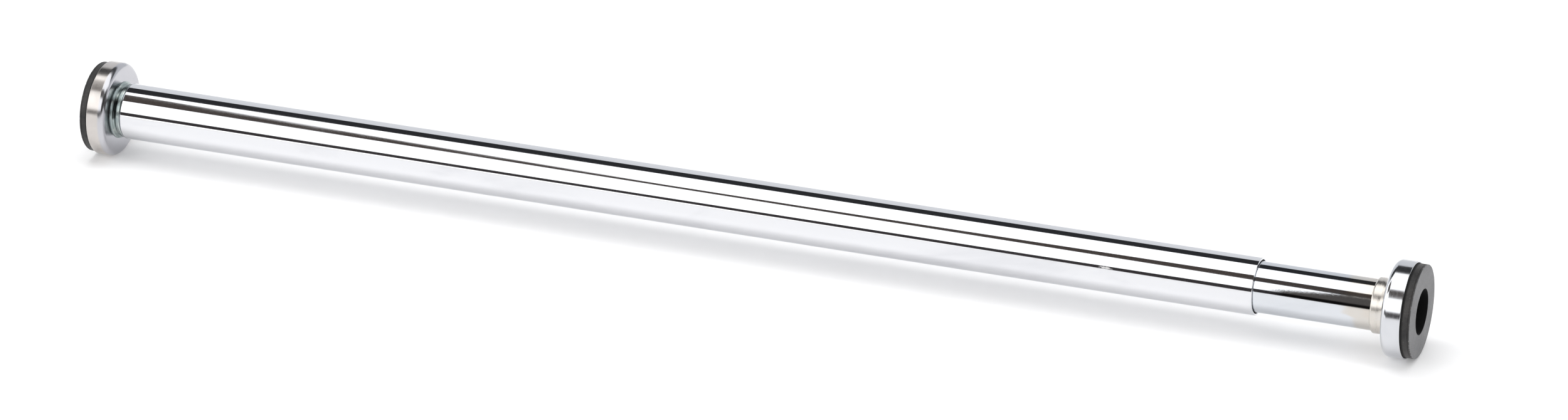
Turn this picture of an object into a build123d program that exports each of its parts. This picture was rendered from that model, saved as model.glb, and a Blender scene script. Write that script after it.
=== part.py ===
from build123d import *

import math
import os

# Telescopic doorway pull-up bar, millimetres. The bar lies along X, with the origin
# at the centre of the left pad's outer face. Three groups move as one piece each:
#   the left foot, which stands still against its door post;
#   the outer tube and its screw, which turn on the left foot;
#   the inner tube with the nut and the right foot, which slides and does not turn.

# Driving dimensions
outer_od = 28.0
outer_wall = 1.0
outer_length = 588.4
inner_wall = 1.0
inner_showing = 57.2  # bare inner tube between the outer tube's mouth and the neck, as stored
extend_travel = 315.0  # from the stored length to the longest
tube_overlap = 82.0  # inner tube still inside the outer one at the longest

cup_od = 47.0
cup_wall = 0.9
left_cup_depth = 9.0
right_cup_depth = 10.0  # a deeper pressing than the left one
cup_corner = 3.0  # outside radius between the cup's side and its back
cup_lip_round = 0.3

left_pad_proud = 4.0  # rubber standing out of each cup
right_pad_proud = 4.6
pad_hole = 22.0
pad_chamfer = 0.35

neck_wall = 1.1  # drawn neck of the right cup, over the inner tube
neck_length = 7.6
neck_round = 0.9

spigot_od = 12.0  # left stub, from the cup inwards
collar_width = 0.9
collar_step = 0.3  # radial, collar over the outer tube
collar_round = 0.4
waist_width = 1.4
waist_step = 1.7  # radial, waist under the outer tube
washer_width = 2.1
washer_step = 0.6  # radial, thrust washer under the outer tube
journal_od = 16.0
journal_chamfer = 1.0

bush_length = 25.0
retainer_width = 1.0
clip_width = 1.2
clip_seat_depth = 1.0  # radial, groove in the journal
clip_height = 2.0  # radial, clip over the journal
clip_opening = 60.0  # degrees left open in the clip
journal_tail = 3.0  # journal left beyond the clip

plug_offset = 12.0  # from the journal's end to the screw's plug
plug_length = 20.0
screw_od = 14.0
thread_depth = 1.5
shank_step = 1.0  # radial, plain shank under the thread's crests
screw_pitch = 6.0
cross_pin_d = 3.0

stop_washer_width = 2.0
stop_bolt_d = 6.0
stop_bolt_depth = 12.0  # engaged in the screw
stop_head_across = 10.0
stop_head_height = 4.0

nut_flange = 3.0
nut_length = 27.0
rivet_d = 4.0
rivet_inset = 6.0  # from the inner tube's end
rivet_relief = 1.0  # inner ends of the rivets stay this far off the screw
guide_length = 20.0
guide_spacing = 30.0
guide_inset = 14.0

# Clearances
tube_gap = 0.6  # radial, inner tube in the outer one
running = 0.05  # radial, a shaft turning or sliding in its hole
seated = 0.02  # radial, a piece pressed or glued into another
loose = 1.0  # radial, a washer, or half of a pin's spare length, inside a tube's bore
drill_point = 2.0  # along X, drilled deeper than the bolt reaches
end_play = 0.15  # along X, between faces that turn past each other
stop_gap = 0.3  # along X, nut to stop washer at the longest
pad_ease = 0.05  # radial, rubber pad in its cup

# Radii and stations that follow from them
outer_radius = outer_od / 2
outer_bore = outer_radius - outer_wall
inner_radius = outer_bore - tube_gap
inner_bore = inner_radius - inner_wall
cup_radius = cup_od / 2
pad_radius = cup_radius - cup_wall - pad_ease
journal_radius = journal_od / 2
clip_seat = journal_radius - clip_seat_depth
screw_radius = screw_od / 2
thread_root = screw_radius - thread_depth
shank_radius = screw_radius - shank_step

left_lip = left_pad_proud
left_back = left_lip + left_cup_depth
waist_start = left_back + collar_width
washer_start = waist_start + waist_width
outer_start = washer_start + washer_width + end_play
outer_end = outer_start + outer_length
bush_start = outer_start + outer_wall
bush_end = bush_start + bush_length
retainer_start = bush_end + end_play
clip_start = retainer_start + retainer_width
journal_end = clip_start + clip_width + journal_tail

neck_start = outer_end + inner_showing
right_back = neck_start + neck_length
right_floor = right_back + cup_wall
right_lip = right_back + right_cup_depth
right_face = right_lip + right_pad_proud
inner_start = outer_end - tube_overlap - extend_travel
inner_length = right_floor - inner_start

plug_start = journal_end + plug_offset
screw_start = plug_start + plug_length
screw_end = inner_start + nut_length + extend_travel + stop_gap
rivet_x = inner_start + rivet_inset
cross_pin_x = plug_start + plug_length / 2

os.makedirs("parts", exist_ok=True)


def cup_section(lip_x, back_x, hole_radius):
    """Half section of a pressed cup: x along the bar, y the radius."""
    inward = math.copysign(1, back_x - lip_x)
    floor_x = back_x - inward * cup_wall
    bend_x = back_x - inward * cup_corner
    inside = cup_radius - cup_wall
    arc_y = cup_radius - cup_corner
    with BuildSketch(Plane.XY) as section:
        with BuildLine():
            Polyline((back_x, arc_y), (back_x, hole_radius), (floor_x, hole_radius), (floor_x, arc_y))
            ThreePointArc(
                (floor_x, arc_y),
                corner_point(bend_x, arc_y, inward, cup_corner - cup_wall),
                (bend_x, inside),
            )
            Polyline((bend_x, inside), (lip_x, inside), (lip_x, cup_radius), (bend_x, cup_radius))
            ThreePointArc(
                (bend_x, cup_radius),
                corner_point(bend_x, arc_y, inward, cup_corner),
                (back_x, arc_y),
            )
        make_face()
        lip_corners = section.vertices().filter_by_position(Axis.X, lip_x, lip_x)
        fillet(lip_corners, radius=cup_lip_round)
    return section.sketch


def corner_point(x, y, inward, radius):
    """Middle point of a quarter bend around (x, y)."""
    reach = radius / math.sqrt(2)
    return (x + inward * reach, y + reach)


def save(builder, name):
    """Label a finished sub-part and write it as its own STEP file."""
    builder.part.label = name
    export_step(builder.part, f"parts/{name}.step")


# ---------------------------------------------------------------- left foot

# Pressed steel cup, pierced for the stub's spigot
with BuildPart() as left_cup:
    revolve(cup_section(left_lip, left_back, spigot_od / 2 + seated), axis=Axis.X)
save(left_cup, "left_cup")

# Rubber pad: a thick ring bonded into the cup
with BuildPart() as left_pad:
    with BuildSketch(Plane.YZ):
        Circle(pad_radius)
        Circle(pad_hole / 2, mode=Mode.SUBTRACT)
    extrude(amount=left_back - cup_wall)
    face_rim = left_pad.faces().sort_by(Axis.X)[0].edges().sort_by(SortBy.LENGTH)[-1]
    chamfer(face_rim, length=pad_chamfer)
    # the rear edge clears the bend inside the cup
    rear_rim = left_pad.faces().sort_by(Axis.X)[-1].edges().sort_by(SortBy.LENGTH)[-1]
    fillet(rear_rim, radius=cup_corner - cup_wall)
save(left_pad, "left_pad")

# Turned stub: spigot through the cup, collar, waist, and the journal inside the tube
with BuildPart() as swivel_stub:
    with BuildSketch(Plane.YZ.offset(left_back - cup_wall)):
        Circle(spigot_od / 2)
    extrude(amount=cup_wall)
    with BuildSketch(Plane.YZ.offset(left_back)):
        Circle(outer_radius + collar_step)
    extrude(amount=collar_width)
    collar_edge = swivel_stub.edges().filter_by(GeomType.CIRCLE).sort_by(SortBy.RADIUS)[-2:]
    fillet(collar_edge.sort_by(Axis.X)[-1], radius=collar_round)
    with BuildSketch(Plane.YZ.offset(waist_start)):
        Circle(outer_radius - waist_step)
    extrude(amount=waist_width)
    with BuildSketch(Plane.YZ.offset(washer_start)):
        Circle(journal_radius)
    extrude(amount=journal_end - washer_start)
    chamfer(swivel_stub.faces().sort_by(Axis.X)[-1].edges(), length=journal_chamfer)
    # groove that holds the clip
    with BuildSketch(Plane.YZ.offset(clip_start)):
        Circle(journal_radius)
        Circle(clip_seat, mode=Mode.SUBTRACT)
    extrude(amount=clip_width, mode=Mode.SUBTRACT)
save(swivel_stub, "swivel_stub")

# Steel thrust washer between the stub's waist and the end of the outer tube
with BuildPart() as thrust_washer:
    with BuildSketch(Plane.YZ.offset(washer_start)):
        Circle(outer_radius - washer_step)
        Circle(journal_radius + seated, mode=Mode.SUBTRACT)
    extrude(amount=washer_width)
    fillet(thrust_washer.edges().sort_by(SortBy.LENGTH)[-2:], radius=collar_round)
save(thrust_washer, "thrust_washer")

# Washer behind the bush, held on the journal by the clip
with BuildPart() as retainer_washer:
    with BuildSketch(Plane.YZ.offset(retainer_start)):
        Circle(outer_bore - loose)
        Circle(journal_radius + seated, mode=Mode.SUBTRACT)
    extrude(amount=retainer_width)
save(retainer_washer, "retainer_washer")

# Open spring clip in the journal's groove
with BuildPart() as retaining_clip:
    with BuildSketch(Plane.YZ.offset(clip_start)):
        Circle(journal_radius + clip_height)
        Circle(clip_seat + seated, mode=Mode.SUBTRACT)
        half = math.radians(clip_opening / 2)
        reach = 2 * (journal_radius + clip_height)
        with BuildLine():
            Polyline(
                (0, 0),
                (reach * math.cos(half), reach * math.sin(half)),
                (reach * math.cos(half), -reach * math.sin(half)),
                close=True,
            )
        make_face(mode=Mode.SUBTRACT)
    extrude(amount=clip_width)
save(retaining_clip, "retaining_clip")

# ---------------------------------------------------------------- outer tube and screw

# Chromed tube, its left end rolled in over the bush
with BuildPart() as outer_tube:
    with BuildSketch(Plane.YZ.offset(outer_start)):
        Circle(outer_radius)
    extrude(amount=outer_length)
    fillet(outer_tube.faces().sort_by(Axis.X)[0].edges(), radius=outer_wall * 0.8)
    with BuildSketch(Plane.YZ.offset(bush_start)):
        Circle(outer_bore)
    extrude(amount=outer_length, mode=Mode.SUBTRACT)
    with BuildSketch(Plane.YZ.offset(outer_start)):
        Circle(outer_bore - 2 * outer_wall)
    extrude(amount=outer_length, mode=Mode.SUBTRACT)
    fillet(outer_tube.faces().sort_by(Axis.X)[-1].edges(), radius=outer_wall * 0.2)
save(outer_tube, "outer_tube")

# Bush pressed into the tube, turning on the journal
with BuildPart() as swivel_bush:
    with BuildSketch(Plane.YZ.offset(bush_start)):
        Circle(outer_bore - seated)
        Circle(journal_radius + running, mode=Mode.SUBTRACT)
    extrude(amount=bush_length)
save(swivel_bush, "swivel_bush")

# Plug pressed into the tube; it carries the screw
with BuildPart() as screw_plug:
    with BuildSketch(Plane.YZ.offset(plug_start)):
        Circle(outer_bore - seated)
        Circle(shank_radius + seated, mode=Mode.SUBTRACT)
    extrude(amount=plug_length)
    with BuildSketch(Plane.XY.offset(-outer_bore)):
        with Locations((cross_pin_x, 0)):
            Circle(cross_pin_d / 2 + seated)
    extrude(amount=2 * outer_bore, mode=Mode.SUBTRACT)
save(screw_plug, "screw_plug")

# Long coarse screw. Its thread is drawn as even ridges, one for each pitch.
with BuildPart() as drive_screw:
    with BuildSketch(Plane.YZ.offset(plug_start)):
        Circle(shank_radius)
    extrude(amount=plug_length)
    ridge_count = int((screw_end - screw_start) / screw_pitch)
    crest = screw_pitch / 3
    flank = screw_pitch / 6
    with BuildSketch(Plane.XY):
        with BuildLine():
            outline = [(screw_start, 0), (screw_start, thread_root)]
            for ridge in range(ridge_count):
                x = screw_start + ridge * screw_pitch + flank
                outline += [
                    (x, thread_root),
                    (x + flank, screw_radius),
                    (x + flank + crest, screw_radius),
                    (x + 2 * flank + crest, thread_root),
                ]
            outline += [(screw_end, thread_root), (screw_end, 0)]
            Polyline(outline, close=True)
        make_face()
    revolve(axis=Axis.X)
    with BuildSketch(Plane.YZ.offset(screw_end)):
        Circle(stop_bolt_d / 2 + seated)
    extrude(amount=-(stop_bolt_depth + drill_point), mode=Mode.SUBTRACT)
    with BuildSketch(Plane.XY.offset(-outer_bore)):
        with Locations((cross_pin_x, 0)):
            Circle(cross_pin_d / 2 + seated)
    extrude(amount=2 * outer_bore, mode=Mode.SUBTRACT)
save(drive_screw, "drive_screw")

# Cross pin through the plug and the screw's shank
with BuildPart() as cross_pin:
    with BuildSketch(Plane.XY.offset(loose / 2 - outer_bore)):
        with Locations((cross_pin_x, 0)):
            Circle(cross_pin_d / 2)
    extrude(amount=2 * outer_bore - loose)
save(cross_pin, "cross_pin")

# Washer on the screw's free end, which the nut meets at full length
with BuildPart() as stop_washer:
    with BuildSketch(Plane.YZ.offset(screw_end)):
        Circle(inner_bore - loose)
        Circle(stop_bolt_d / 2 + seated, mode=Mode.SUBTRACT)
    extrude(amount=stop_washer_width)
save(stop_washer, "stop_washer")

# Bolt that holds the stop washer
with BuildPart() as stop_bolt:
    with BuildSketch(Plane.YZ.offset(screw_end + stop_washer_width)):
        RegularPolygon(radius=stop_head_across / 2, side_count=6, major_radius=False)
    extrude(amount=stop_head_height)
    with BuildSketch(Plane.YZ.offset(screw_end + stop_washer_width)):
        Circle(stop_bolt_d / 2)
    extrude(amount=-(stop_bolt_depth + stop_washer_width))
save(stop_bolt, "stop_bolt")

# ---------------------------------------------------------------- inner tube and right foot

# Chromed tube that slides inside the outer one
with BuildPart() as inner_tube:
    with BuildSketch(Plane.YZ.offset(inner_start)):
        Circle(inner_radius)
        Circle(inner_bore, mode=Mode.SUBTRACT)
    extrude(amount=inner_length)
    with BuildSketch(Plane.XY.offset(-inner_radius)):
        with Locations((rivet_x, 0)):
            Circle(rivet_d / 2 + seated)
    extrude(amount=2 * inner_radius, mode=Mode.SUBTRACT)
save(inner_tube, "inner_tube")

# Flanged nut in the tube's end, running on the screw
with BuildPart() as screw_nut:
    with BuildSketch(Plane.YZ.offset(inner_start - nut_flange)):
        Circle(inner_radius)
    extrude(amount=nut_flange)
    with BuildSketch(Plane.YZ.offset(inner_start)):
        Circle(inner_bore - seated)
    extrude(amount=nut_length)
    with BuildSketch(Plane.YZ.offset(inner_start - nut_flange)):
        Circle(screw_radius + running)
    extrude(amount=nut_flange + nut_length, mode=Mode.SUBTRACT)
    with BuildSketch(Plane.XY.offset(-inner_radius)):
        with Locations((rivet_x, 0)):
            Circle(rivet_d / 2 + seated)
    extrude(amount=2 * inner_radius, mode=Mode.SUBTRACT)
save(screw_nut, "screw_nut")

# Two rivets, one each side, headed flush with the tube and clear of the screw
with BuildPart() as nut_rivets:
    with BuildSketch(Plane.XY.offset(-inner_radius)):
        with Locations((rivet_x, 0)):
            Circle(rivet_d / 2)
    extrude(amount=2 * inner_radius)
    with BuildSketch(Plane.YZ.offset(inner_start)):
        Circle(inner_radius)
    extrude(amount=2 * rivet_inset, mode=Mode.INTERSECT)
    with BuildSketch(Plane.YZ.offset(inner_start)):
        Circle(screw_radius + rivet_relief)
    extrude(amount=2 * rivet_inset, mode=Mode.SUBTRACT)
save(nut_rivets, "nut_rivets")

# Nylon sleeves on the inner tube, sliding in the outer one
for name, guide_start in (
    ("rear_guide", inner_start + guide_inset),
    ("front_guide", inner_start + guide_inset + guide_spacing),
):
    with BuildPart() as guide:
        with BuildSketch(Plane.YZ.offset(guide_start)):
            Circle(outer_bore - running)
            Circle(inner_radius + seated, mode=Mode.SUBTRACT)
        extrude(amount=guide_length)
    save(guide, name)

# Pressed steel cup with a drawn neck, welded on the inner tube
with BuildPart() as right_cup:
    revolve(cup_section(right_lip, right_back, inner_radius + seated), axis=Axis.X)
    with BuildSketch(Plane.YZ.offset(neck_start)):
        Circle(inner_radius + neck_wall)
        Circle(inner_radius + seated, mode=Mode.SUBTRACT)
    extrude(amount=neck_length)
    neck_end = right_cup.faces().sort_by(Axis.X)[0].edges().sort_by(SortBy.LENGTH)[-1]
    fillet(neck_end, radius=neck_round)
save(right_cup, "right_cup")

# Rubber pad of the right cup
with BuildPart() as right_pad:
    with BuildSketch(Plane.YZ.offset(right_floor)):
        Circle(pad_radius)
        Circle(pad_hole / 2, mode=Mode.SUBTRACT)
    extrude(amount=right_face - right_floor)
    face_rim = right_pad.faces().sort_by(Axis.X)[-1].edges().sort_by(SortBy.LENGTH)[-1]
    chamfer(face_rim, length=pad_chamfer)
    rear_rim = right_pad.faces().sort_by(Axis.X)[0].edges().sort_by(SortBy.LENGTH)[-1]
    fillet(rear_rim, radius=cup_corner - cup_wall)
save(right_pad, "right_pad")

print(f"stored length {right_face:.2f} mm")
print(f"pads {left_back - cup_wall:.2f} and {right_face - right_floor:.2f} mm thick")
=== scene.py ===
import math

import bpy
from mathutils import Matrix, Vector


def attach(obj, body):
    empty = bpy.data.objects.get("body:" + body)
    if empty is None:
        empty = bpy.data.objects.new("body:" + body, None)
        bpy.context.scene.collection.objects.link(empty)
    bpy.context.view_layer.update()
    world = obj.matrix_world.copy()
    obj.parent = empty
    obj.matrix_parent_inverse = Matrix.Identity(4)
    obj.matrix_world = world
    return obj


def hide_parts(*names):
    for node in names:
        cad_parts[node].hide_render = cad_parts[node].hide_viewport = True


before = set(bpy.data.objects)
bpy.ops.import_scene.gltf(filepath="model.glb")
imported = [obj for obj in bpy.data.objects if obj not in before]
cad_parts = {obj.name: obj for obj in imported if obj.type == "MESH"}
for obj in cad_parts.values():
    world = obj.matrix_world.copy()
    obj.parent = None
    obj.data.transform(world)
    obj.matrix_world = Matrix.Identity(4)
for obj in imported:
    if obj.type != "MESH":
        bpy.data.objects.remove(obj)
bpy.context.view_layer.update()

# ---------------------------------------------------------------- left cup
# A shallow cup pressed from 0.9 mm steel sheet, open towards the door post and pierced
# in the middle for the stub's spigot. It is plated bright, and its side is left satin and
# warm by the polishing wheel, while the bend and the flat back stay bright.
MM = 0.001
cup_radius = 23.5
cup_wall = 0.9
cup_corner = 3.0
lip_round = 0.42
left_lip = 4.0
left_back = 13.0
left_floor = left_back - cup_wall
spigot_hole = 6.02
pierced_edge = 0.12
satin_fades = 10.9
satin_whole = 9.6
inside_ends = 23.0
outside_starts = 23.3
warm_dark = (0.47, 0.44, 0.42, 1)
warm_light = (0.64, 0.61, 0.585, 1)
cool_dark = (0.455, 0.455, 0.485, 1)
cool_light = (0.54, 0.54, 0.565, 1)
pole = 1e-6


def rounded(corners, steps):
    """Points and outward normals of a closed outline, its corners (x, r, radius) rounded."""
    area = 0.0
    for (x0, r0, _), (x1, r1, _) in zip(corners, corners[1:] + corners[:1]):
        area += x0 * r1 - x1 * r0
    if area < 0:
        corners = corners[::-1]
    points, normals = [], []
    for i, (x, r, bend) in enumerate(corners):
        corner = Vector((x, r))
        back = (Vector(corners[i - 1][:2]) - corner).normalized()
        ahead = (Vector(corners[(i + 1) % len(corners)][:2]) - corner).normalized()
        if r < pole:  # the outline meets the axis, where the normal lies along it
            points.append(corner)
            leaves = abs(ahead.x) < abs(back.x)
            normals.append(Vector((1.0 if leaves else -1.0, 0.0)))
            continue
        half = back.angle(ahead) / 2
        reach = bend / math.tan(half)
        start = corner + back * reach
        middle = corner + (back + ahead).normalized() * (bend / math.sin(half))
        convex = (corner - start).cross(ahead) > 0
        sweep = (math.pi - 2 * half) * (1 if convex else -1)
        arm = start - middle
        for k in range(steps + 1):
            spoke = Matrix.Rotation(sweep * k / steps, 2) @ arm
            points.append(middle + spoke)
            normals.append(spoke.normalized() * (1 if convex else -1))
    return points, normals


def turned(name, corners, sides, steps):
    """A mesh made by turning a closed outline, in millimetres, round the bar's axis."""
    points, normals = rounded(corners, steps)
    verts, shading, rings = [], [], []
    for point, normal in zip(points, normals):
        count = 1 if point.y < pole else sides
        rings.append([len(verts) + j for j in range(count)])
        for j in range(count):
            angle = 2 * math.pi * j / sides
            c, s = math.cos(angle), math.sin(angle)
            verts.append((point.x * MM, point.y * c * MM, point.y * s * MM))
            shading.append((normal.x, normal.y * c, normal.y * s))
    faces = []
    for ring, following in zip(rings, rings[1:] + rings[:1]):
        if len(ring) == 1 and len(following) == 1:
            continue
        for j in range(sides):
            k = (j + 1) % sides
            if len(ring) == 1:
                faces.append((ring[0], following[j], following[k]))
            elif len(following) == 1:
                faces.append((ring[j], following[0], ring[k]))
            else:
                faces.append((ring[j], following[j], following[k], ring[k]))
    mesh = bpy.data.meshes.new(name)
    mesh.from_pydata(verts, [], faces)
    mesh.update()
    mesh.polygons.foreach_set("use_smooth", [True] * len(mesh.polygons))
    mesh.normals_split_custom_set_from_vertices(shading)
    made = bpy.data.objects.new(name, mesh)
    bpy.context.scene.collection.objects.link(made)
    return made


def new_finish(name, **values):
    """A material, with the plain numbers and colours set on its shader's own sockets."""
    made = bpy.data.materials.new(name)
    made.use_nodes = True
    shader = made.node_tree.nodes["Principled BSDF"]
    for socket, value in values.items():
        shader.inputs[socket.replace("_", " ")].default_value = value
    return made, made.node_tree, shader


def node(tree, kind, feeds=None, **settings):
    """One node, with its settings and what feeds each of its sockets."""
    made = tree.nodes.new("ShaderNode" + kind)
    for key, value in settings.items():
        setattr(made, key, value)
    for socket, value in (feeds or {}).items():
        if isinstance(value, bpy.types.NodeSocket):
            tree.links.new(value, made.inputs[socket])
        else:
            made.inputs[socket].default_value = value
    return made


def sums(tree, operation, *terms, clamp=False):
    """The result of one operation on sockets and numbers."""
    made = node(tree, "Math", dict(enumerate(terms)), operation=operation, use_clamp=clamp)
    return made.outputs[0]


def times(tree, first, *others):
    """Sockets and numbers multiplied together."""
    for other in others:
        first = sums(tree, "MULTIPLY", first, other)
    return first


def plus(tree, first, *others, clamp=False):
    """Sockets and numbers added up, and held between 0 and 1 if asked."""
    for other in others:
        first = sums(tree, "ADD", first, other, clamp=clamp)
    return first


def between(tree, value, low, high, to_low=0.0, to_high=1.0, smooth=False):
    """A socket brought from one span of values to another, and held at its ends."""
    spans = {"From Min": low, "From Max": high, "To Min": to_low, "To Max": to_high}
    way = "SMOOTHSTEP" if smooth else "LINEAR"
    return node(tree, "MapRange", {"Value": value, **spans}, interpolation_type=way).outputs[0]


def blend_colour(tree, share, first, second):
    """The first colour where share is 0 and the second where it is 1."""
    feeds = {0: share, 6: first, 7: second}
    return node(tree, "Mix", feeds, data_type="RGBA", clamp_factor=True).outputs[2]


def place(tree):
    """Where a point of the piece is, in metres."""
    return node(tree, "TexCoord").outputs["Object"]


def measures(tree, where):
    """A place's x, y and z, and its distance from the bar's axis."""
    x, y, z = node(tree, "SeparateXYZ", {0: where}).outputs
    radius = sums(tree, "SQRT", plus(tree, times(tree, y, y), times(tree, z, z)))
    return x, y, z, radius


def grain(tree, where, fine, detail=3.0, rough=0.55, warp=0.0):
    """Noise from 0 to 1, with that many cells to the metre, the same or not on each axis."""
    stretch = fine if isinstance(fine, tuple) else (fine, fine, fine)
    spread = node(tree, "VectorMath", {0: where, 1: stretch}, operation="MULTIPLY").outputs[0]
    looks = {"Scale": 1.0, "Detail": detail, "Roughness": rough, "Distortion": warp}
    return node(tree, "TexNoise", {"Vector": spread, **looks}).outputs["Fac"]


def wheel_marks(tree, x, radius, fine, detail):
    """Fine rings round the axis, as a polishing wheel or a lathe tool leaves them."""
    section = node(tree, "CombineXYZ", {0: x, 1: radius}).outputs[0]
    return grain(tree, section, (fine, fine, 1), detail)


def coat(tree, shader, colour, roughness):
    """Gives the shader its colour and its roughness."""
    tree.links.new(colour, shader.inputs["Base Color"])
    tree.links.new(roughness, shader.inputs["Roughness"])


def raised(tree, shader, height, depth, strength):
    """Relief from a height of 0 to 1, that many metres deep."""
    feeds = {"Height": height, "Distance": depth, "Strength": strength}
    tree.links.new(node(tree, "Bump", feeds).outputs[0], shader.inputs["Normal"])


left_cup = turned(
    "left_cup_pressing",
    [
        (left_back, spigot_hole, pierced_edge),
        (left_back, cup_radius, cup_corner),
        (left_lip, cup_radius, lip_round),
        (left_lip, cup_radius - cup_wall, lip_round),
        (left_floor, cup_radius - cup_wall, cup_corner - cup_wall),
        (left_floor, spigot_hole, pierced_edge),
    ],
    sides=224,
    steps=12,
)

satin_nickel, tree, shader = new_finish("satin_nickel", Metallic=1.0)
where = place(tree)
x, _, _, radius = measures(tree, where)
wheel_lines = wheel_marks(tree, x, radius, 5200, 4)
cloud = grain(tree, where, 95, detail=4, warp=0.6)
on_side = between(tree, x, satin_fades * MM, satin_whole * MM, smooth=True)
outside = between(tree, radius, inside_ends * MM, outside_starts * MM)
satin = times(tree, on_side, outside)
warm = blend_colour(tree, cloud, warm_dark, warm_light)
cool = blend_colour(tree, cloud, cool_dark, cool_light)
matt = between(tree, wheel_lines, 0.3, 0.7, 0.16, 0.25)
bright = between(tree, cloud, 0.35, 0.7, 0.17, 0.23)
not_satin = sums(tree, "SUBTRACT", 1.0, satin)
gloss = plus(tree, times(tree, matt, satin), times(tree, bright, not_satin))
coat(tree, shader, blend_colour(tree, satin, cool, warm), gloss)
raised(tree, shader, wheel_lines, 0.000008, 0.6)
left_cup.data.materials.append(satin_nickel)

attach(left_cup, "left_foot")
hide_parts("left_cup")

# ---------------------------------------------------------------- left pad
# A thick ring of black rubber bonded into the cup, 4 mm proud of its lip, that grips the
# door post. Its mould leaves a fine parting line round its side. The skin is faintly
# dusty and the rim of the grey face is chipped. The face's lighter grey is partly its ground
# surface and partly painted grazing sheen. Painted shade darkens the side along the cup's
# lip and the inside of the hole.
left_face = 0.0
right_face = 685.35
right_lip = 680.75
pad_radius = 22.55
pad_hole = 11.0
rim_round = 0.35
hole_round = 0.25
floor_round = 0.1
parting_from_face = 1.0
parting_half_width = 0.14
parting_half_bottom = 0.05
parting_depth = 0.16
parting_round = 0.03
side_black = (0.016, 0.016, 0.0165, 1)
side_bloom = (0.052, 0.049, 0.047, 1)
face_dark = (0.115, 0.115, 0.119, 1)
face_light = (0.20, 0.199, 0.203, 1)
pale_dust = (0.17, 0.165, 0.16, 1)
chip_grey = (0.26, 0.26, 0.26, 1)
# Painted shade: this near black stands for the shade along the cup's lip and inside the hole.
pad_shade_black = (0.004, 0.004, 0.004, 1)
rim_light = pad_radius - 0.17
hole_dark = pad_hole + 0.05


def pad_outline(face, floor):
    """Outline of a pad from its gripping face to the cup's floor, with its parting line."""
    inward = math.copysign(1.0, floor - face)
    seam = face + inward * parting_from_face
    bottom = pad_radius - parting_depth
    return [
        (face, pad_hole, hole_round),
        (face, pad_radius, rim_round),
        (seam - parting_half_width * inward, pad_radius, parting_round),
        (seam - parting_half_bottom * inward, bottom, parting_round),
        (seam + parting_half_bottom * inward, bottom, parting_round),
        (seam + parting_half_width * inward, pad_radius, parting_round),
        (floor, pad_radius, cup_corner - cup_wall),
        (floor, pad_hole, floor_round),
    ]


def by_face(tree, x, fades, whole):
    """1 within one depth, in millimetres, of either pad's face and 0 beyond the other."""
    left = between(tree, x, (left_face + fades) * MM, (left_face + whole) * MM)
    right = between(tree, x, (right_face - fades) * MM, (right_face - whole) * MM)
    return plus(tree, left, right)


left_pad = turned("left_rubber_pad", pad_outline(left_face, left_floor), sides=224, steps=6)

pad_rubber, tree, shader = new_finish(
    "black_rubber", IOR=1.5, Specular_IOR_Level=0.3, Sheen_Weight=0.06, Sheen_Roughness=0.4
)
where = place(tree)
x, _, _, radius = measures(tree, where)
skin = grain(tree, where, 2600, detail=5, rough=0.7)
bloom = grain(tree, where, 70, detail=5, warp=0.8)
mottle = grain(tree, where, 420, detail=5, rough=0.7)
dust = between(tree, grain(tree, where, 900, detail=2), 0.66, 0.74)
grit = grain(tree, where, 1500, detail=4, rough=0.8)
chips = between(tree, grain(tree, where, 650, detail=4, rough=0.7), 0.54, 0.62)
rubbed = between(tree, bloom, 0.35, 0.75)

on_face = by_face(tree, x, 0.30, 0.10)
rim = between(tree, radius, (pad_radius - rim_round) * MM, rim_light * MM)
rim = times(tree, by_face(tree, x, 0.60, 0.40), rim)
# Painted shade: the inside of the hole is made near black, where shade falls.
in_hole = between(tree, radius, (pad_hole + hole_round) * MM, hole_dark * MM)
# Painted shade: the side is darkened along the cup's lip, where the gap throws shade.
left_lip_shade = between(tree, x, (left_lip - 1.1) * MM, (left_lip - 0.4) * MM)
right_lip_shade = between(tree, x, (right_lip + 1.35) * MM, (right_lip + 0.55) * MM)
lip_shade = times(tree, left_lip_shade, right_lip_shade)

side_tone = blend_colour(tree, rubbed, side_black, side_bloom)
# Partly painted sheen: the face gets a much lighter grey than the side, standing partly for its
# ground surface and partly for its bright grazing reflection.
face_tone = blend_colour(tree, mottle, face_dark, face_light)
tone = blend_colour(tree, on_face, side_tone, face_tone)
tone = blend_colour(tree, times(tree, dust, 0.35), tone, pale_dust)
speckle = between(tree, grit, 0.32, 0.68, 0.72, 1.30)
tone = node(tree, "VectorMath", {0: tone, 3: speckle}, operation="SCALE").outputs[0]
tone = blend_colour(tree, times(tree, rim, chips, 0.75), tone, chip_grey)
# Painted shade along the cup's lip and inside the hole.
tone = blend_colour(tree, times(tree, lip_shade, 0.85), tone, pad_shade_black)
tone = blend_colour(tree, in_hole, tone, pad_shade_black)
worn = plus(tree, times(tree, rubbed, 0.5), times(tree, skin, 0.5))
dull = between(tree, worn, 0.2, 0.8, 0.42, 0.60)
dull = plus(tree, dull, times(tree, in_hole, 0.5), times(tree, lip_shade, 0.3), clamp=True)
coat(tree, shader, tone, dull)
raised(tree, shader, plus(tree, skin, times(tree, on_face, mottle)), 0.00005, 0.35)
left_pad.data.materials.append(pad_rubber)

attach(left_pad, "left_foot")
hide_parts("left_pad")

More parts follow.
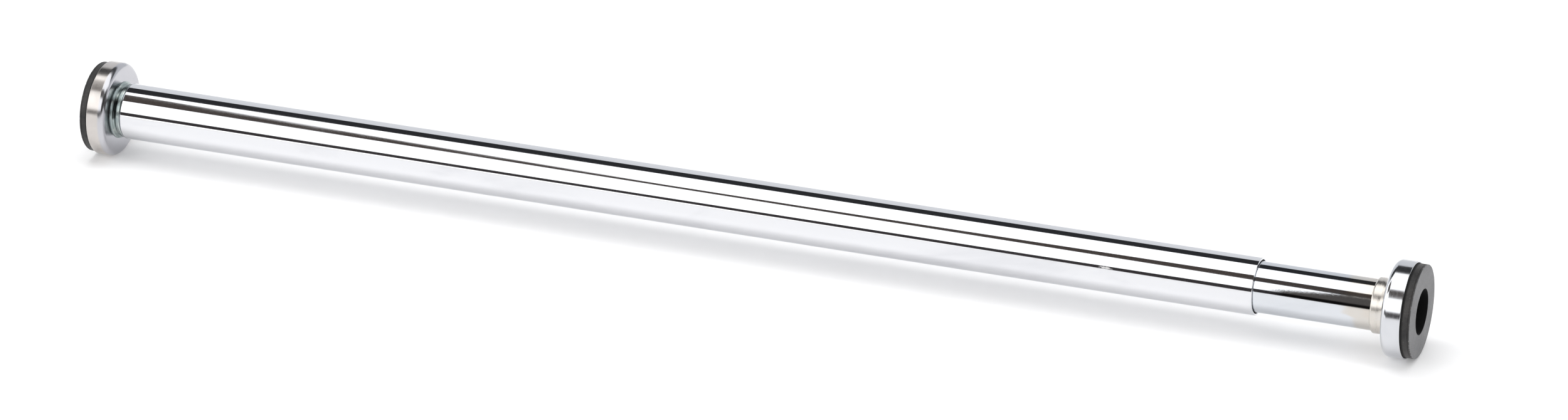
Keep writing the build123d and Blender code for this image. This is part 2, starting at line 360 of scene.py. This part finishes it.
# ---------------------------------------------------------------- swivel stub
# A steel stub turned from bar and zinc plated with a bluish passivation. Its spigot is
# pushed through the cup and spread over flush with the floor; the collar stands on the
# cup's back, and beyond the waist the journal runs in the tube's bush. The waist's flanks
# are painted near black as shade, more strongly on the upper half.
spigot_radius = 5.99
dish_depth = 0.35
dish_radius = 2.6
dish_rim = 3.4
dish_round = 0.3
spread_round = 0.2
collar_radius = 14.3
collar_land = 0.35
cove_start = left_back + 0.95
cove_radius = 13.35
cove_bend = 0.7
waist_start = 14.95
waist_radius = 12.3
waist_bend = 0.5
washer_start = 15.3
journal_radius = 8.0
clip_start = 44.7
clip_end = 45.9
clip_seat = 7.0
fine_edge = 0.05
inside_corner = 0.1
turned_edge = 0.15
journal_end = 48.9
journal_chamfer = 1.0
drilled_radius = 2.0
drilled_depth = 2.0
zinc_dark = (0.30, 0.355, 0.35, 1)
zinc_middle = (0.38, 0.44, 0.435, 1)
zinc_light = (0.56, 0.595, 0.565, 1)
# Painted shade: near black for the shade in the waist's groove.
stub_shade_black = (0.02, 0.022, 0.022, 1)

swivel_stub = turned(
    "swivel_stub_turning",
    [
        (left_floor + dish_depth, 0.0, 0.0),
        (left_floor + dish_depth, dish_radius, dish_round),
        (left_floor, dish_rim, dish_round),
        (left_floor, spigot_radius, spread_round),
        (left_back, spigot_radius, fine_edge),
        (left_back, collar_radius, 0.06),
        (left_back + collar_land, collar_radius, 0.12),
        (cove_start, cove_radius, cove_bend),
        (waist_start, waist_radius, waist_bend),
        (washer_start, waist_radius, inside_corner),
        (washer_start, journal_radius, turned_edge),
        (clip_start, journal_radius, fine_edge),
        (clip_start, clip_seat, inside_corner),
        (clip_end, clip_seat, inside_corner),
        (clip_end, journal_radius, fine_edge),
        (journal_end - journal_chamfer, journal_radius, turned_edge),
        (journal_end, journal_radius - journal_chamfer, turned_edge),
        (journal_end, drilled_radius, inside_corner),
        (journal_end - drilled_depth, 0.0, 0.0),
    ],
    sides=160,
    steps=6,
)

zinc_plate, tree, shader = new_finish("blue_passivated_zinc", Metallic=1.0)
where = place(tree)
x, y, z, radius = measures(tree, where)
tool_lines = wheel_marks(tree, x, radius, 3600, 3)
film = grain(tree, where, 210, detail=4, warp=1.2)
ramp = node(tree, "ValToRGB", {0: film})
ramp.color_ramp.elements[0].position = 0.32
ramp.color_ramp.elements[0].color = zinc_dark
ramp.color_ramp.elements[1].position = 0.70
ramp.color_ramp.elements[1].color = zinc_light
ramp.color_ramp.elements.new(0.52).color = zinc_middle

past_land = between(tree, x, (left_back + 0.45) * MM, (left_back + 0.8) * MM)
off_washer = between(tree, x, (washer_start + 0.05) * MM, (washer_start - 0.05) * MM)
in_cove = between(tree, radius, (collar_radius - 0.3) * MM, (collar_radius - 0.7) * MM)
waist = times(tree, past_land, off_washer, in_cove)
# Painted shade: the waist is darkened at its flanks, more on the upper half, where the groove
# lies in shade.
sideways = sums(tree, "DIVIDE", sums(tree, "ABSOLUTE", y), radius)
flank = between(tree, sideways, 0.50, 0.78, 0.22, 0.92, smooth=True)
upper = between(tree, z, -0.5 * MM, 1.5 * MM, 0.22, 1.0, smooth=True)
waist_shade = times(tree, waist, flank, upper)
colour = blend_colour(tree, waist_shade, ramp.outputs[0], stub_shade_black)
coat(tree, shader, colour, between(tree, tool_lines, 0.25, 0.75, 0.20, 0.31))
raised(tree, shader, tool_lines, 0.00001, 0.5)
swivel_stub.data.materials.append(zinc_plate)

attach(swivel_stub, "left_foot")
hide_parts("swivel_stub")

# ---------------------------------------------------------------- thrust washer
# A loose washer stamped from steel plate and tumbled round at its edges, zinc plated like
# the stub. It sits between the stub's shoulder and the end of the turning tube, and takes
# the push when the bar is tightened.
washer_end = 17.4
washer_radius = 13.4
washer_hole = journal_radius + 0.02
washer_round = 0.55
washer_burr = 0.1

thrust_washer = turned(
    "thrust_washer_stamping",
    [
        (washer_start, washer_hole, washer_burr),
        (washer_end, washer_hole, washer_burr),
        (washer_end, washer_radius, washer_round),
        (washer_start, washer_radius, washer_round),
    ],
    sides=160,
    steps=8,
)
thrust_washer.data.materials.append(zinc_plate)

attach(thrust_washer, "left_foot")
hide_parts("thrust_washer")

# ---------------------------------------------------------------- small fasteners
# A washer and an open spring clip in the journal's groove hold the tube on the stub, a pin
# holds the screw in its plug, a washer and bolt stop the nut at the screw's end, and two
# rivets hold the nut. All are plain steel that has browned a little under a film of oil.
oiled_grey = (0.34, 0.34, 0.35, 1)
oiled_brown = (0.22, 0.20, 0.18, 1)

oiled_steel, tree, shader = new_finish("oiled_fastener_steel", Metallic=1.0)
where = place(tree)
mill = grain(tree, where, 2400, detail=4)
stain = between(tree, grain(tree, where, 320, detail=4, warp=1.0), 0.4, 0.7)
colour = blend_colour(tree, stain, oiled_grey, oiled_brown)
coat(tree, shader, colour, between(tree, mill, 0.3, 0.7, 0.28, 0.45))
raised(tree, shader, mill, 0.00001, 0.5)
fasteners = (
    "retainer_washer",
    "retaining_clip",
    "cross_pin",
    "stop_washer",
    "stop_bolt",
    "nut_rivets",
)
for name in fasteners:
    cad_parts[name].data.materials[0] = oiled_steel

# ---------------------------------------------------------------- outer tube
# Welded steel tube, 28 mm across with a 1 mm wall, ground, polished lengthwise and chrome
# plated. Its left end is rolled inwards to hold the bush, and the free end is cut square
# with its edges broken. Handling has left faint smears and a small scuff near that end.
tube_radius = 14.0
tube_bore = 13.0
tube_wall = tube_radius - tube_bore
tube_start = 17.55
tube_end = 605.95
rolled_hole = 11.0
rolled_round = 0.95
rolled_edge = 0.2
rolled_corner = 0.1
mouth_outside = 0.42
mouth_inside = 0.22
scuff_x = 533.5
scuff_angle = math.radians(73.3)
scuff_fine = (230, 1500, 1500)
tube_haze = (0.65, 0.655, 0.68, 1)
tube_bright = (0.73, 0.735, 0.755, 1)
scuff_pale = (0.80, 0.79, 0.78, 1)

outer_tube = turned(
    "outer_chrome_tube",
    [
        (tube_start, rolled_hole, rolled_edge),
        (tube_start, tube_radius, rolled_round),
        (tube_end, tube_radius, mouth_outside),
        (tube_end, tube_bore, mouth_inside),
        (tube_start + tube_wall, tube_bore, rolled_corner),
        (tube_start + tube_wall, rolled_hole, rolled_edge),
    ],
    sides=288,
    steps=10,
)


def chrome(name, dull, bright, rough):
    """Polished chrome plate: lengthwise polishing lines, faint smears and a little haze."""
    made, tree, shader = new_finish(name, Metallic=1.0)
    where = place(tree)
    polish = grain(tree, where, (16, 1500, 1500), detail=4, rough=0.6)
    wave = grain(tree, where, (9, 150, 150), detail=2)
    smear = grain(tree, where, (13, 42, 42), detail=5, warp=0.7)
    haze = between(tree, smear, 0.52, 0.78, smooth=True)
    colour = blend_colour(tree, haze, bright, dull)
    gloss = plus(tree, between(tree, polish, 0.3, 0.75, 0.04, rough), times(tree, haze, 0.03))
    height = plus(tree, times(tree, polish, 0.35), wave)
    return made, tree, shader, where, colour, gloss, height


tube_chrome, tree, shader, where, colour, gloss, height = chrome(
    "polished_tube_chrome", tube_haze, tube_bright, 0.075
)
scuff_y = -tube_radius * math.sin(scuff_angle)
scuff_z = tube_radius * math.cos(scuff_angle)
scuff_at = (scuff_x * MM, scuff_y * MM, scuff_z * MM)
away = node(tree, "VectorMath", {0: where, 1: scuff_at}, operation="SUBTRACT").outputs[0]
away = node(tree, "VectorMath", {0: away, 1: scuff_fine}, operation="MULTIPLY").outputs[0]
away = node(tree, "VectorMath", {0: away}, operation="LENGTH").outputs["Value"]
ragged = times(tree, grain(tree, where, (700, 1500, 1500), detail=3), 1.6)
scuff = between(tree, plus(tree, away, ragged), 1.75, 1.1)
colour = blend_colour(tree, scuff, colour, scuff_pale)
coat(tree, shader, colour, plus(tree, gloss, times(tree, scuff, 0.30), clamp=True))
raised(tree, shader, height, 0.00001, 0.35)
outer_tube.data.materials.append(tube_chrome)

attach(outer_tube, "turning_tube")
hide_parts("outer_tube")

# ---------------------------------------------------------------- swivel bush
# A sintered bronze bush pressed in behind the rolled end. Oil held in its pores leaves
# it brown and speckled. It turns with the tube on the stub's journal.
bronze_dark = (0.34, 0.20, 0.09, 1)
bronze_light = (0.52, 0.34, 0.17, 1)
pore_brown = (0.10, 0.06, 0.03, 1)

bush_bronze, tree, shader = new_finish("sintered_bronze", Metallic=1.0)
where = place(tree)
pores = node(tree, "TexVoronoi", {"Vector": where, "Scale": 2600.0}).outputs["Distance"]
oil = grain(tree, where, 180, detail=4)
pitted = between(tree, pores, 0.12, 0.32)
bronze = blend_colour(tree, oil, bronze_dark, bronze_light)
colour = blend_colour(tree, pitted, pore_brown, bronze)
coat(tree, shader, colour, between(tree, oil, 0.3, 0.7, 0.32, 0.5))
raised(tree, shader, pitted, 0.00003, 0.6)
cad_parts["swivel_bush"].data.materials[0] = bush_bronze

# ---------------------------------------------------------------- screw plug and nut
# The plug that carries the screw, and the nut riveted in the end of the sliding tube,
# are both turned from free-cutting steel and left dark and oily from the lathe.
plug_dark = (0.24, 0.235, 0.23, 1)
plug_light = (0.40, 0.40, 0.41, 1)

turned_steel, tree, shader = new_finish("turned_plug_steel", Metallic=1.0)
where = place(tree)
x, _, _, radius = measures(tree, where)
feed = wheel_marks(tree, x, radius, 2900, 2)
oil = grain(tree, where, 140, detail=4, warp=0.5)
colour = blend_colour(tree, oil, plug_dark, plug_light)
coat(tree, shader, colour, between(tree, feed, 0.25, 0.75, 0.26, 0.42))
raised(tree, shader, feed, 0.00002, 0.6)
for name in ("screw_plug", "screw_nut"):
    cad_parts[name].data.materials[0] = turned_steel

# ---------------------------------------------------------------- drive screw
# A long steel screw with a coarse rolled thread, pinned in the plug. Grease has gathered
# in its roots, and the crests are burnished bright by the nut.
greasy_root = 6.2
clean_crest = 6.9
crest_bright = (0.58, 0.58, 0.57, 1)
root_brown = (0.20, 0.17, 0.12, 1)

screw_steel, tree, shader = new_finish("greased_screw_steel", Metallic=1.0)
where = place(tree)
_, _, _, radius = measures(tree, where)
patchy = plus(tree, radius, times(tree, grain(tree, where, 420, detail=3), 0.0008))
greasy = between(tree, patchy, clean_crest * MM, greasy_root * MM)
rolled = grain(tree, where, (900, 2600, 2600), detail=3)
colour = blend_colour(tree, greasy, crest_bright, root_brown)
coat(tree, shader, colour, between(tree, rolled, 0.3, 0.7, 0.18, 0.34))
raised(tree, shader, rolled, 0.00001, 0.5)
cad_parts["drive_screw"].data.materials[0] = screw_steel

# ---------------------------------------------------------------- guide sleeves
# Two short sleeves of natural nylon, pushed on the sliding tube, that fill the gap to
# the outer tube and keep the two from rattling.
nylon_dark = (0.66, 0.64, 0.57, 1)
nylon_light = (0.78, 0.76, 0.69, 1)

guide_nylon, tree, shader = new_finish(
    "natural_nylon", IOR=1.53, Subsurface_Weight=0.12, Subsurface_Scale=0.001
)
where = place(tree)
flow = grain(tree, where, 260, detail=3, warp=0.9)
fine = grain(tree, where, 2200, detail=3)
colour = blend_colour(tree, flow, nylon_dark, nylon_light)
coat(tree, shader, colour, between(tree, fine, 0.3, 0.7, 0.38, 0.52))
raised(tree, shader, fine, 0.00002, 0.3)
for name in ("rear_guide", "front_guide"):
    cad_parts[name].data.materials[0] = guide_nylon

# ---------------------------------------------------------------- inner tube
# The sliding tube, chrome plated like the outer one. Welding it into the cup's neck has
# tinted the plate beside the joint straw and brown. A dark, grainy patch on its front
# side towards the neck is a painted dark reflection.
inner_radius = 12.4
inner_bore = 11.4
inner_start = 208.95
inner_end = 671.65
inner_edge = 0.2
slid_edge = 0.25
welded_edge = 0.15
inner_haze = (0.57, 0.59, 0.625, 1)
inner_bright = (0.64, 0.66, 0.69, 1)
straw_tint = (0.61, 0.585, 0.55, 1)
brown_tint = (0.60, 0.56, 0.515, 1)
# Painted reflection: near black for the dark patch that the chrome reflects there.
dark_reflection_black = (0.035, 0.033, 0.032, 1)
straw_from, straw_full = 646.5, 651
brown_from, brown_full = 655, 662
dark_reflection_from, dark_reflection_full = 609, 622
dark_reflection_widens, dark_reflection_widest = 612, 652

inner_tube = turned(
    "inner_chrome_tube",
    [
        (inner_start, inner_bore, inner_edge),
        (inner_start, inner_radius, slid_edge),
        (inner_end, inner_radius, welded_edge),
        (inner_end, inner_bore, inner_edge),
    ],
    sides=256,
    steps=6,
)

inner_chrome, tree, shader, where, colour, gloss, height = chrome(
    "heat_stained_chrome", inner_haze, inner_bright, 0.08
)
x, y, z, _ = measures(tree, where)
around = sums(tree, "ARCTAN2", times(tree, y, -1.0), z)

edge = sums(tree, "SUBTRACT", grain(tree, where, 120, detail=4), 0.5)
low_side = (math.radians(92), math.radians(104))
later = between(tree, around, *low_side, 0.0015, 0.0065, smooth=True)
ragged_x = sums(tree, "SUBTRACT", plus(tree, x, times(tree, edge, 0.007)), later)
straw = between(tree, ragged_x, straw_from * MM, straw_full * MM, smooth=True)
browned = between(tree, ragged_x, brown_from * MM, brown_full * MM, smooth=True)
stained = blend_colour(tree, straw, colour, straw_tint)
stained = blend_colour(tree, browned, stained, brown_tint)

# Painted reflection: a dark, grainy patch on the front side towards the neck stands for a dark
# reflection.
dark_reflection_top = (math.radians(69.0), math.radians(53.5))
dark_reflection_high = between(tree, x, dark_reflection_widens * MM, dark_reflection_widest * MM, *dark_reflection_top)
coarse = grain(tree, where, (5200, 6000, 6000), detail=2, rough=0.7)
speck = between(tree, coarse, 0.30, 0.70)
past_top = sums(tree, "SUBTRACT", around, dark_reflection_high)
share = between(tree, past_top, -0.21, 0.12, -0.15, 1.15, smooth=True)
reflection_share = between(tree, sums(tree, "SUBTRACT", share, speck), -0.22, 0.22)
above = between(tree, around, math.radians(77), math.radians(74.2), smooth=True)
begins = between(tree, x, dark_reflection_from * MM, dark_reflection_full * MM, smooth=True)
painted_reflection = times(tree, reflection_share, above, begins)
underneath = between(tree, around, math.radians(74), math.radians(80), 0.02, 0.12)
matt = plus(tree, times(tree, straw, underneath), times(tree, painted_reflection, 0.06))
stained = blend_colour(tree, painted_reflection, stained, dark_reflection_black)
coat(tree, shader, stained, plus(tree, gloss, matt, clamp=True))
gritty = times(tree, coarse, straw, 0.5)
raised(tree, shader, plus(tree, height, gritty), 0.00001, 0.35)
inner_tube.data.materials.append(inner_chrome)

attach(inner_tube, "sliding_tube")
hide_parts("inner_tube")

# ---------------------------------------------------------------- right cup
# The right cup is drawn in one piece with the neck that takes the inner tube. The neck
# has a rolled shoulder, and flares into the cup's back. It is bright chrome, creamy over
# the neck where the welding heated it.
neck_start = 663.15
neck_radius = 13.5
neck_bore = 12.42
neck_round = 0.95
neck_edge = 0.15
shoulder_end = neck_start + 3.2
waist_at = neck_start + 4.3
waist_depth = 0.3
neck_bend = 1.5
flare_depth = 0.1
flare_bend = 1.1
right_back = 670.75
right_floor = right_back + cup_wall
plate_dark = (0.58, 0.59, 0.62, 1)
plate_light = (0.66, 0.67, 0.69, 1)
heated_cream = (0.64, 0.605, 0.56, 1)
cream_ends = 16.5
cream_full = 14.2

right_cup = turned(
    "right_cup_pressing",
    [
        (neck_start, neck_bore, neck_edge),
        (neck_start, neck_radius, neck_round),
        (shoulder_end, neck_radius, neck_bend),
        (waist_at, neck_radius - waist_depth, neck_bend),
        (right_back, neck_radius - flare_depth, flare_bend),
        (right_back, cup_radius, cup_corner),
        (right_lip, cup_radius, lip_round),
        (right_lip, cup_radius - cup_wall, lip_round),
        (right_floor, cup_radius - cup_wall, cup_corner - cup_wall),
        (right_floor, neck_bore, neck_edge),
    ],
    sides=224,
    steps=12,
)

cup_chrome, tree, shader = new_finish("bright_cup_chrome", Metallic=1.0)
where = place(tree)
x, _, _, radius = measures(tree, where)
buffed = wheel_marks(tree, x, radius, 2600, 3)
cloud = grain(tree, where, 110, detail=4, warp=0.6)
ripple = grain(tree, where, 260, detail=2)
near_neck = between(tree, radius, cream_ends * MM, cream_full * MM, smooth=True)
heated = times(tree, near_neck, between(tree, cloud, 0.2, 0.55, 0.7, 1.0))
plate = blend_colour(tree, cloud, plate_dark, plate_light)
gloss = plus(tree, between(tree, buffed, 0.3, 0.7, 0.11, 0.18), times(tree, heated, 0.12))
coat(tree, shader, blend_colour(tree, heated, plate, heated_cream), gloss)
raised(tree, shader, plus(tree, times(tree, buffed, 0.4), ripple), 0.00001, 0.4)
right_cup.data.materials.append(cup_chrome)

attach(right_cup, "sliding_tube")
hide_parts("right_cup")

# ---------------------------------------------------------------- right pad
# The second rubber ring, moulded like the left one and bonded into the deeper right cup.
# It stands 4.6 mm proud of the lip, so that only rubber touches the door post.
right_pad = turned("right_rubber_pad", pad_outline(right_face, right_floor), sides=224, steps=6)
right_pad.data.materials.append(pad_rubber)

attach(right_pad, "sliding_tube")
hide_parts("right_pad")

# ---------------------------------------------------------------- floor
# A sheet of matt white board, wide enough to run past the view on every side. The bar
# lies on it on the rims of its two cups.
floor_height = -cup_radius * MM
floor_reach = 60.0
board_white = (0.82, 0.82, 0.825, 1)
board_glow = 0.20

floor_mesh = bpy.data.meshes.new("studio_floor")
floor_corners = [
    (-floor_reach, -floor_reach, floor_height),
    (floor_reach, -floor_reach, floor_height),
    (floor_reach, floor_reach, floor_height),
    (-floor_reach, floor_reach, floor_height),
]
floor_mesh.from_pydata(floor_corners, [], [(0, 1, 2, 3)])
floor = bpy.data.objects.new("studio_floor", floor_mesh)
bpy.context.scene.collection.objects.link(floor)
floor_white, tree, shader = new_finish(
    "matt_white_board",
    Roughness=0.9,
    Specular_IOR_Level=0.1,
    Base_Color=board_white,
    Emission_Color=(1.0, 1.0, 1.0, 1),
    Emission_Strength=board_glow,
)
floor_mesh.materials.append(floor_white)

# ---------------------------------------------------------------- studio light
# A white tent round the bar, with a pale grey wall behind, and the dark slits between its
# panels that polished plate shows as lines. Angles are round the bar's axis, in degrees
# from straight up towards the front; each slit is given at places along the tent.
wall_grey = (0.85, 0.868, 0.90, 1)
tent_white = (1.9, 1.9, 1.9, 1)
opening_dark = (0.05, 0.048, 0.045, 1)
opening_toward = Vector((0.93, -0.30, 0.12)).normalized()
slits = [
    {
        "upper": [(-0.40, -46.8), (-0.33, -48.2), (-0.245, -53.0)],
        "lower": [(-0.40, -16.4), (-0.33, -21.0), (-0.245, -24.8)],
        "soft": 1.5,
        "colour": (0.030, 0.031, 0.034, 1),
    },
    {
        "upper": [
            (-0.398, -3.3),
            (-0.381, 6.2),
            (-0.356, 17.1),
            (-0.330, 25.6),
            (-0.303, 26.3),
            (-0.245, 22.3),
        ],
        "lower": [
            (-0.398, 27.0),
            (-0.356, 30.9),
            (-0.330, 33.6),
            (-0.303, 35.8),
            (-0.275, 38.4),
            (-0.235, 43.6),
        ],
        "soft": 1.2,
        "colour": (0.075, 0.062, 0.056, 1),
    },
    {
        "upper": [(-0.40, 73.4), (-0.343, 76.4), (-0.27, 77.0), (-0.245, 74.8)],
        "lower": [(-0.40, 86.6), (-0.33, 86.6), (-0.245, 90.0)],
        "soft": 1.2,
        "colour": (0.045, 0.040, 0.041, 1),
    },
]

studio = bpy.data.worlds.new("studio_tent")
studio.use_nodes = True
bpy.context.scene.world = studio
tree = studio.node_tree
background = tree.nodes["Background"]
toward = node(tree, "TexCoord").outputs["Generated"]
along_x, along_y, along_z = node(tree, "SeparateXYZ", {0: toward}).outputs
tilt = sums(tree, "DEGREES", sums(tree, "ARCTAN2", times(tree, along_y, -1.0), along_z))
wide = between(tree, sums(tree, "ABSOLUTE", along_x), 0.92, 0.72, smooth=True)


def along(points):
    """An angle that changes along the tent: (direction's x, degrees) from left to right."""
    low, high, least, most = -0.42, -0.20, -60.0, 120.0
    ramp = node(tree, "ValToRGB", {0: between(tree, along_x, low, high)})
    stops = ramp.color_ramp.elements
    while len(stops) < len(points):
        stops.new(0.5)
    for stop, (across, degrees) in zip(stops, points):
        level = (degrees - least) / (most - least)
        stop.position = (across - low) / (high - low)
        stop.color = (level, level, level, 1)
    grey = node(tree, "SeparateColor", {0: ramp.outputs[0]}).outputs[0]
    return between(tree, grey, 0.0, 1.0, least, most)


def slit_share(upper, lower, soft):
    """How far a direction lies in the slit between two angles."""
    below_upper = sums(tree, "SUBTRACT", tilt, along(upper))
    above_lower = sums(tree, "SUBTRACT", along(lower), tilt)
    first = between(tree, below_upper, -soft, soft, smooth=True)
    last = between(tree, above_lower, -soft, soft, smooth=True)
    return times(tree, first, last, wide)


tent = blend_colour(tree, between(tree, tilt, -36.0, -28.0), wall_grey, tent_white)
for slit in slits:
    share = slit_share(slit["upper"], slit["lower"], slit["soft"])
    tent = blend_colour(tree, share, tent, slit["colour"])
facing = node(tree, "VectorMath", {0: toward, 1: opening_toward}, operation="DOT_PRODUCT")
opening_edge = (math.cos(math.radians(36)), math.cos(math.radians(27)))
open_end = between(tree, facing.outputs["Value"], *opening_edge, smooth=True)
tent = blend_colour(tree, open_end, tent, opening_dark)
tree.links.new(tent, background.inputs["Color"])

softbox = bpy.data.lights.new("overhead_softbox", "AREA")
softbox.shape = "RECTANGLE"
softbox.size = 1.5
softbox.size_y = 0.7
softbox.energy = 6.0
overhead = bpy.data.objects.new("overhead_softbox", softbox)
bpy.context.scene.collection.objects.link(overhead)
overhead.location = (0.12, 0.30, 1.25)
bar_middle = Vector((0.34, 0.0, 0.0))
overhead.rotation_mode = "QUATERNION"
overhead.rotation_quaternion = (bar_middle - overhead.location).to_track_quat("-Z", "Y")
overhead.visible_glossy = False

# ---------------------------------------------------------------- camera
# A long lens, high and to the right of the bar, looking down along it. Its place and the
# three directions that it is held by are in the frame of the bar.
camera_at = Vector((1.4066, -2.8360, 1.4154))
camera_right = Vector((0.93878, 0.34451, 0.0))
camera_up = Vector((-0.14605, 0.39798, 0.90570))
camera_ahead = Vector((-0.31202, 0.85025, -0.42393))

lens = bpy.data.cameras.new("camera")
lens.sensor_width = 36.0
lens.lens = 158.04
lens.clip_start = 0.05
lens.clip_end = 200.0
camera = bpy.data.objects.new("camera", lens)
bpy.context.scene.collection.objects.link(camera)
held = Matrix((camera_right, camera_up, -camera_ahead)).transposed().to_4x4()
camera.matrix_world = Matrix.Translation(camera_at) @ held
bpy.context.scene.camera = camera
bpy.context.scene.view_settings.view_transform = "Standard"
